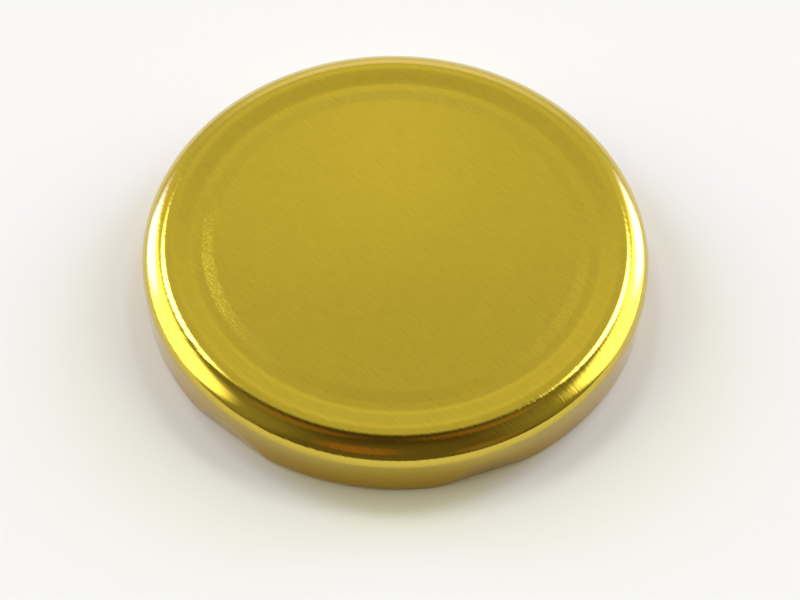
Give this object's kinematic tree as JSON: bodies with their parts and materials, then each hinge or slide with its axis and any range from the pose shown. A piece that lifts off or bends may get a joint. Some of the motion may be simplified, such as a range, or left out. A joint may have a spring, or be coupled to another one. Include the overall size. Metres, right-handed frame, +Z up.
{
  "type": "jar lid",
  "caption": "Round pressed-metal twist-off jar lid with a low stepped panel, a rounded shoulder, a short skirt with inward lugs and a cured sealing ring.",
  "frame": {"origin": "centre of the plane that the rolled edge stands on, on the cap's axis", "axes": "+Z up the cap's axis, out of the panel's top face; +X through the middle of a lug"},
  "size_m": [0.0854, 0.0854, 0.0106],
  "materials": {
    "lacquered_tinplate": "gold lacquer over rolled tinplate, satin panel and bright shoulder",
    "sealing_compound": "smooth, semi-matt"
  },
  "bodies": {
    "root": {"shell": "lacquered_tinplate", "sealing_ring": "sealing_compound"}
  },
  "joints": []
}
